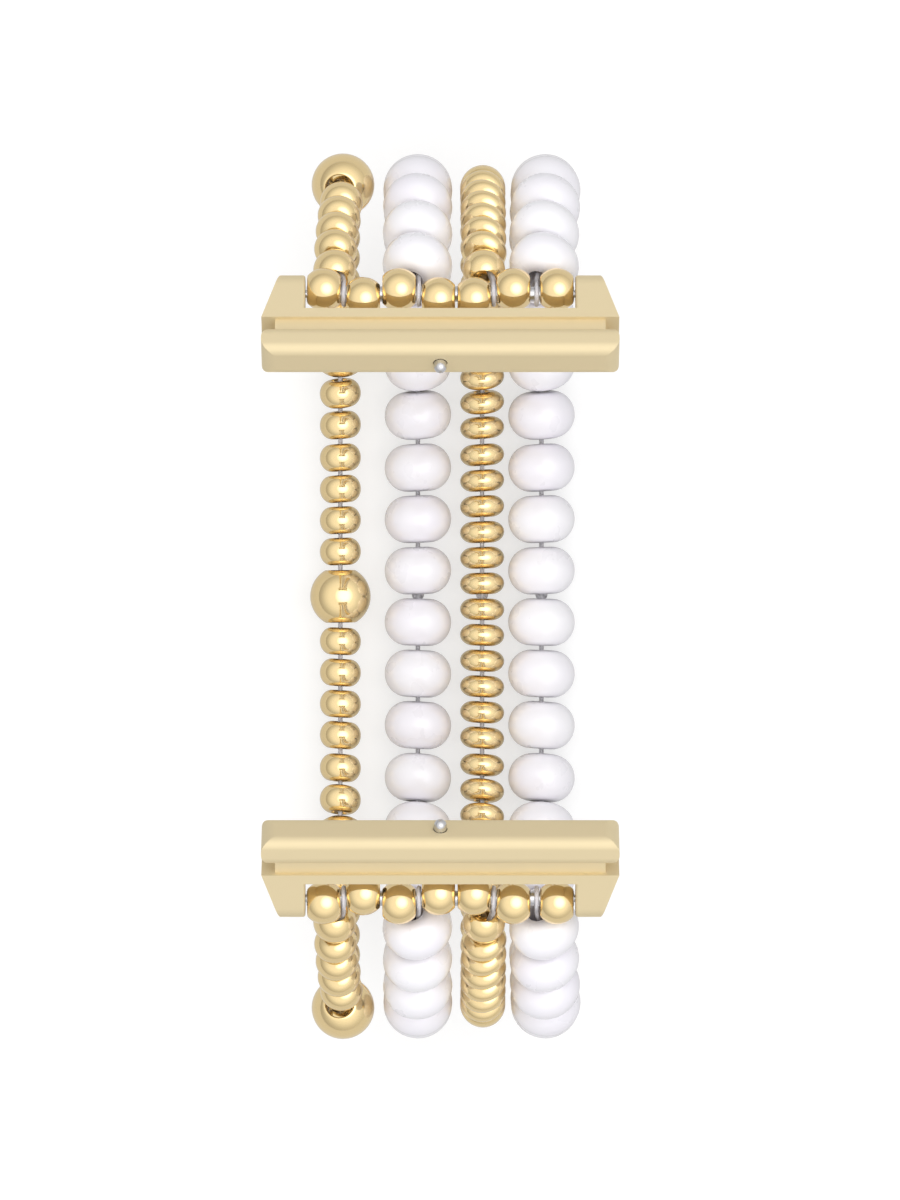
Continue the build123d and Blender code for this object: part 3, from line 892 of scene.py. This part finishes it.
class BAND_OT_gold_beads(bpy.types.Operator):
    """Make the small gold beads of every link"""
    bl_idname = "band.gold_beads"
    bl_label = "Gold beads"

    def execute(self, context):
        seed = context.scene.band_sizes.bead_seed
        for link in range(1, LINK_COUNT + 1):
            pieces = []
            for number, kind in enumerate(("large", "round", "rondelle")):
                places = bead_places(link, kind)
                if places:
                    pieces.append(bead_piece(
                        f"gold_{kind}_{link}", places, kind, polished_gold(), seed + 10 * link + number
                    ))
            piece = joined(f"turned_gold_{link}", pieces)
            finished(piece, f"link_{link}", "polished_gold", f"gold_beads_{link}")
        return {"FINISHED"}


class BAND_OT_gold_balls(bpy.types.Operator):
    """Make the large gold balls"""
    bl_idname = "band.gold_balls"
    bl_label = "Gold balls"

    def execute(self, context):
        seed = context.scene.band_sizes.bead_seed
        for link in range(1, LINK_COUNT + 1):
            places = bead_places(link, "ball")
            if places:
                piece = bead_piece(f"turned_ball_{link}", places, "ball", polished_gold(), seed + link)
                finished(piece, f"link_{link}", "polished_gold", f"gold_ball_{link}")
        return {"FINISHED"}


class BAND_OT_pearls(bpy.types.Operator):
    """Make the pearl rondelles of every link"""
    bl_idname = "band.pearls"
    bl_label = "Pearls"

    def execute(self, context):
        seed = context.scene.band_sizes.bead_seed
        for link in range(1, LINK_COUNT + 1):
            piece = bead_piece(
                f"turned_pearls_{link}", bead_places(link, "pearl"), "pearl", pearl_coat(),
                seed + 20 * link,
            )
            finished(piece, f"link_{link}", "pearl", f"pearl_beads_{link}")
        return {"FINISHED"}


class BAND_OT_bar_beads(bpy.types.Operator):
    """Make the loose gold beads on both spring bars"""
    bl_idname = "band.bar_beads"
    bl_label = "Bar beads"

    def execute(self, context):
        seed = context.scene.band_sizes.bead_seed
        for hour, side in HOURS.items():
            for number, (x, way) in enumerate(zip(bar_bead_centres(), BAR_BEAD_SIDES), start=1):
                centre = Vector((x, side * (BAR_Y + way * BAR_BEAD_OFFSET), BAR_Z)) * MM
                piece = bead_piece(
                    f"turned_bar_bead_{number}_{hour}", [(centre, Vector((1, 0, 0)))], "large",
                    polished_gold(), seed + 100 * number + hour,
                )
                finished(
                    piece, f"bar_bead_{number}_{hour}", "polished_gold", f"bar_bead_{number}_{hour}"
                )
        return {"FINISHED"}


def cord_route(strand, start, end, outward):
    """Points of one elastic run from start to end, at the bead centres between them."""
    stops = [start]
    for link in range(1, LINK_COUNT + 1):
        stops += [
            centre for kind, centre in row_centres(strand, link)
            if start + CORD_STOP_GAP < centre < end - CORD_STOP_GAP
        ]
    stops.append(end)
    return [point_at(strand_x_at(strand, stop), stop, outward) for stop in stops]


def cord_turn(strand):
    """Points of the elastic's turn round the 12 o'clock bar, from the outer run to the inner."""
    x = cord_bar_x()[strand]
    loop_radius = TUBE_RADIUS + CORD_CLEARANCE + CORD_RADIUS
    bar = Vector((x, BAR_Y, BAR_Z)) * MM
    entries = [point_at(x, CORD_ENTRY, side * CORD_OFFSET) for side in (1, -1)]
    angles = []
    for side, entry in zip((1, -1), entries):
        away = entry - bar
        reach = math.hypot(away.y, away.z)
        bearing = math.atan2(away.z, away.y)
        angles.append(bearing + side * math.acos(loop_radius * MM / reach))
    sweep = (angles[1] - angles[0]) % (2 * math.pi)
    turn = []
    for step in range(CORD_TURN_STEPS + 1):
        angle = angles[0] + sweep * step / CORD_TURN_STEPS
        turn.append(bar + Vector((0, math.cos(angle), math.sin(angle))) * loop_radius * MM)
    return [entries[0], *turn, entries[1]]


def cord_curve(name, routes):
    """Curve with one smooth spline for each route."""
    data = bpy.data.curves.new(name, "CURVE")
    data.dimensions = "3D"
    data.resolution_u = CORD_SMOOTHNESS
    for route in routes:
        spline = data.splines.new("NURBS")
        spline.points.add(len(route) - 1)
        for point, place in zip(spline.points, route):
            point.co = (*place, 1)
        spline.order_u = 3
        spline.use_endpoint_u = True
    return data


def cord_piece(name, routes):
    """Elastic cords along the routes, as one mesh."""
    sizes = bpy.context.scene.band_sizes
    return through_tree(cord_curve(name, routes), tree_named("elastic_cords", cord_tree), name, {
        "Cord Radius": sizes.cord_radius,
        "Sides": CORD_SIDES,
        "Material": clear_elastic(),
    })


def knot_route(strand):
    """Points of the knot in one strand's elastic, in the middle of the back."""
    centre = point_at(STRAND_BACK_X[strand], TOTAL_LENGTH / 2)
    route = []
    for step in range(KNOT_STEPS + 1):
        angle = 2 * math.pi * step / KNOT_STEPS
        across = (math.sin(angle) + 2 * math.sin(2 * angle)) * KNOT_SIZE
        along = (math.cos(angle) - 2 * math.cos(2 * angle)) * KNOT_SIZE
        route.append(centre + Vector((across, along, -math.sin(3 * angle) * KNOT_SIZE)) * MM)
    return route


def link_middle(link):
    """Distance of the middle of a link along the centreline."""
    return sum(link_span(link)) / 2


def flipped(point):
    """The same place at the 6 o'clock end."""
    return Vector((point.x, -point.y, point.z))


class BAND_OT_elastic(bpy.types.Operator):
    """Make the elastic: doubled cords across every gap between links, their turns and knots"""
    bl_idname = "band.elastic"
    bl_label = "Elastic"

    def execute(self, context):
        strands = range(len(STRAND_X))
        middle = link_middle(1)
        turns = []
        for strand in strands:
            outer, inner = (
                cord_route(strand, BEADS["large"]["length"], middle, side * CORD_OFFSET)
                for side in (1, -1)
            )
            turns.append(outer[::-1] + cord_turn(strand) + inner)
        first = cord_piece("elastic_turn_12", turns)
        finished(first, "link_1", "elastic", "elastic_1")
        last = cord_piece("elastic_turn_6", [[flipped(p) for p in route] for route in turns])
        finished(last, f"link_{LINK_COUNT}", "elastic", f"elastic_{LINK_COUNT}")
        knots = cord_piece("elastic_knots", [knot_route(strand) for strand in strands])
        finished(knots, f"link_{BACK_LINK}", "elastic")
        for link in range(1, LINK_COUNT):
            routes = [
                cord_route(strand, link_middle(link), link_middle(link + 1), side * CORD_OFFSET)
                for strand in strands for side in (1, -1)
            ]
            piece = cord_piece(f"elastic_flex_{link}_{link + 1}", routes)
            start = point_at(0, link_span(link)[1])
            end = point_at(0, link_span(link + 1)[0])
            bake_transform(piece)
            if link > 1:
                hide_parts(f"elastic_{link}")
        return {"FINISHED"}


class BAND_OT_metal(bpy.types.Operator):
    """Give the lug adapters, spring bars and latches their finishes"""
    bl_idname = "band.metal"
    bl_label = "Metal finishes"

    def execute(self, context):
        for hour in HOURS:
            for name, material in (
                ("lug_adapter", matte_gold()), ("latch_plunger", turned_steel()),
                ("latch_spring", turned_steel()), ("bar_tube", turned_steel()),
                ("bar_pin_left", turned_steel()), ("bar_pin_right", turned_steel()),
                ("bar_spring", turned_steel()),
            ):
                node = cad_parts[f"{name}_{hour}"]
                node.data.materials.clear()
                node.data.materials.append(material)
        return {"FINISHED"}


class BAND_OT_stage(bpy.types.Operator):
    """Make the pale floor, the soft lights and the camera"""
    bl_idname = "band.stage"
    bl_label = "Stage"

    def execute(self, context):
        scene = context.scene
        mesh = bpy.data.meshes.new("floor")
        mesh.from_pydata(
            [(x * FLOOR_REACH, y * FLOOR_REACH, 0) for x, y in ((-1, -1), (1, -1), (1, 1), (-1, 1))],
            [], [(0, 1, 2, 3)],
        )
        floor = bpy.data.objects.new("floor", mesh)
        scene.collection.objects.link(floor)
        mesh.materials.append(white_floor())
        white_world(scene)
        for name, place, size, power in LAMPS:
            data = bpy.data.lights.new(name, "AREA")
            data.shape = "DISK"
            data.size = size
            data.energy = power
            lamp = bpy.data.objects.new(name, data)
            lamp.location = place
            aim = Vector(LAMP_AIM) - lamp.location
            lamp.rotation_euler = aim.to_track_quat("-Z", "Y").to_euler()
            lamp.visible_glossy = False
            scene.collection.objects.link(lamp)
        data = bpy.data.cameras.new("photo_view")
        data.sensor_fit = "VERTICAL"
        data.angle = math.radians(CAMERA_ANGLE)
        data.clip_start = 0.01
        data.clip_end = 20
        camera = bpy.data.objects.new("photo_view", data)
        camera.location = Vector((CAMERA_X, CAMERA_Y, WIDEST_Z + CAMERA_HEIGHT)) * MM
        scene.collection.objects.link(camera)
        scene.camera = camera
        scene.view_settings.view_transform = "Standard"
        return {"FINISHED"}


def white_floor():
    """White floor that keeps the band's soft shadow."""
    material, tree, shader = new_material("white_floor")
    shader.inputs["Base Color"].default_value = (FLOOR_COLOUR, FLOOR_COLOUR, FLOOR_COLOUR, 1)
    shader.inputs["Roughness"].default_value = 1.0
    shader.inputs["Specular IOR Level"].default_value = 0.0
    shader.inputs["Emission Color"].default_value = (1, 1, 1, 1)
    path = add_node(tree, "ShaderNodeLightPath").outputs
    mirrored = math_node(tree, "MAXIMUM", path["Is Glossy Ray"], path["Is Transmission Ray"])
    seen = math_node(tree, "MULTIPLY", path["Is Camera Ray"], FLOOR_SEEN_GLOW)
    mirrored_glow = math_node(tree, "MULTIPLY", mirrored, FLOOR_MIRRORED_GLOW)
    glow = math_node(tree, "ADD", seen, mirrored_glow)
    tree.links.new(glow, shader.inputs["Emission Strength"])
    return material


def white_world(scene):
    """White surroundings: plain where they are seen, softly graded where metal mirrors them."""
    world = bpy.data.worlds.new("white_surroundings")
    world.use_nodes = True
    tree = world.node_tree
    background = tree.nodes["Background"]
    background.inputs["Color"].default_value = (1, 1, 1, 1)
    path = add_node(tree, "ShaderNodeLightPath").outputs
    seen = math_node(tree, "MAXIMUM", path["Is Camera Ray"], path["Is Transmission Ray"])
    direction = add_node(tree, "ShaderNodeTexCoord").outputs["Generated"]
    towards = add_node(tree, "ShaderNodeSeparateXYZ")
    tree.links.new(direction, towards.inputs[0])
    sky = smooth_range(
        tree, towards.outputs["Z"], (0.0, MIRRORED_RISE), (MIRRORED_HORIZON, MIRRORED_ZENITH)
    )
    side = math_node(tree, "MULTIPLY", towards.outputs["X"], MIRRORED_SIDE)
    facing_key = add_node(tree, "ShaderNodeVectorMath", operation="DOT_PRODUCT")
    tree.links.new(direction, facing_key.inputs[0])
    facing_key.inputs[1].default_value = SOFT_KEY_TOWARDS
    key = smooth_range(
        tree, facing_key.outputs["Value"], (SOFT_KEY_EDGE, SOFT_KEY_CORE), (0.0, SOFT_KEY_LEVEL)
    )
    graded = math_node(tree, "ADD", math_node(tree, "ADD", sky, side), key)
    gained = math_node(tree, "SUBTRACT", graded, WORLD_LIGHT)
    mirrored = math_node(tree, "MULTIPLY", path["Is Glossy Ray"], gained)
    level = math_node(tree, "ADD", math_node(tree, "MULTIPLY", seen, 1 - WORLD_LIGHT), mirrored)
    tree.links.new(math_node(tree, "ADD", level, WORLD_LIGHT), background.inputs["Strength"])
    scene.world = world


class BAND_PT_panel(bpy.types.Panel):
    """Makers of the bead watch band"""
    bl_idname = "BAND_PT_panel"
    bl_label = "Bead watch band"
    bl_space_type = "VIEW_3D"
    bl_region_type = "UI"
    bl_category = "Bead band"

    def draw(self, context):
        layout = self.layout
        for group in (context.scene.band_sizes, context.scene.band_finish):
            box = layout.box()
            for name in group.bl_rna.properties.keys():
                if name not in ("rna_type", "name"):
                    box.prop(group, name)
        for operator in MAKERS:
            layout.operator(operator.bl_idname)


MAKERS = (
    BAND_OT_stage, BAND_OT_elastic, BAND_OT_gold_beads, BAND_OT_gold_balls, BAND_OT_pearls,
    BAND_OT_bar_beads, BAND_OT_metal,
)
CLASSES = (BandSizes, BandFinish, *MAKERS, BAND_PT_panel)


def register():
    for item in CLASSES:
        bpy.utils.register_class(item)
    bpy.types.Scene.band_sizes = PointerProperty(type=BandSizes)
    bpy.types.Scene.band_finish = PointerProperty(type=BandFinish)


def unregister():
    del bpy.types.Scene.band_finish
    del bpy.types.Scene.band_sizes
    for item in reversed(CLASSES):
        bpy.utils.unregister_class(item)


def main():
    register()
    bpy.ops.band.stage()
    bpy.ops.band.elastic()
    bpy.ops.band.gold_beads()
    bpy.ops.band.gold_balls()
    bpy.ops.band.pearls()
    bpy.ops.band.bar_beads()
    bpy.ops.band.metal()


if __name__ == "__main__":
    main()
